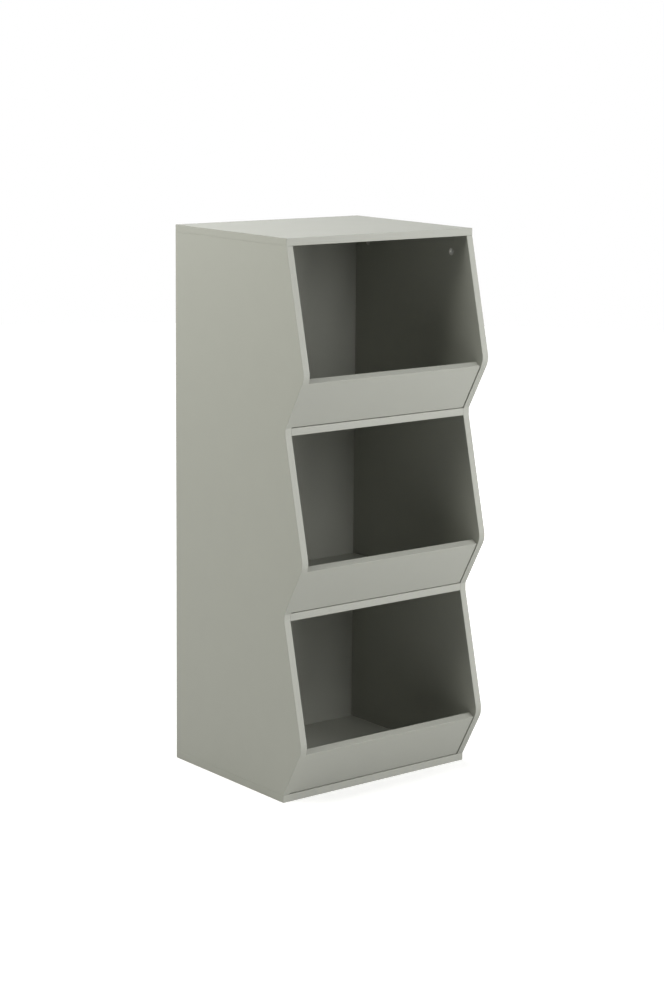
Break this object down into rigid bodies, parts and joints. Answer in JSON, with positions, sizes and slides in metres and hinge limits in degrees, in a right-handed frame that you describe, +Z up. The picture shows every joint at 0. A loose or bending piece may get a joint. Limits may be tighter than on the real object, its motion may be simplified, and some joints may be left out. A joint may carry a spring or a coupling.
{
  "type": "kids shelf",
  "caption": "Free-standing open shelf for a child's room: painted boards with zigzag sides and leaning bin fronts, joined by cam fittings, dowels and screws.",
  "frame": {"origin": "on the floor, in the middle of the overall width and depth", "axes": "+X to the right as seen from the front, +Y from the front to the back, +Z up"},
  "size_m": [0.378, 0.3462, 0.9],
  "materials": {
    "paint": "matt grey-green paint on fibreboard",
    "back_board": "thin hardboard, painted grey-green inside, bare brown behind",
    "zinc_cam": "die-cast zinc",
    "plated_steel": "bright zinc plate",
    "beech": "bare wood"
  },
  "bodies": {
    "root": {"top_panel": "paint", "base_panel": "paint", "left_side_panel": "paint", "right_side_panel": "paint", "upper_shelf": "paint", "lower_shelf": "paint", "back_panel": "back_board", "upper_bin_front": "paint", "middle_bin_front": "paint", "lower_bin_front": "paint", "top_cams": "zinc_cam", "top_cam_bolts": "plated_steel", "top_dowels": "beech", "base_screws": "plated_steel", "base_dowels": "beech", "upper_shelf_cams": "zinc_cam", "upper_shelf_cam_bolts": "plated_steel", "upper_shelf_dowels": "beech", "lower_shelf_cams": "zinc_cam", "lower_shelf_cam_bolts": "plated_steel", "lower_shelf_dowels": "beech", "upper_bin_front_cams": "zinc_cam", "upper_bin_front_cam_bolts": "plated_steel", "upper_bin_front_dowels": "beech", "middle_bin_front_cams": "zinc_cam", "middle_bin_front_cam_bolts": "plated_steel", "middle_bin_front_dowels": "beech", "lower_bin_front_cams": "zinc_cam", "lower_bin_front_cam_bolts": "plated_steel", "lower_bin_front_dowels": "beech", "wall_bracket": "plated_steel", "wall_bracket_screws": "plated_steel"}
  },
  "joints": []
}
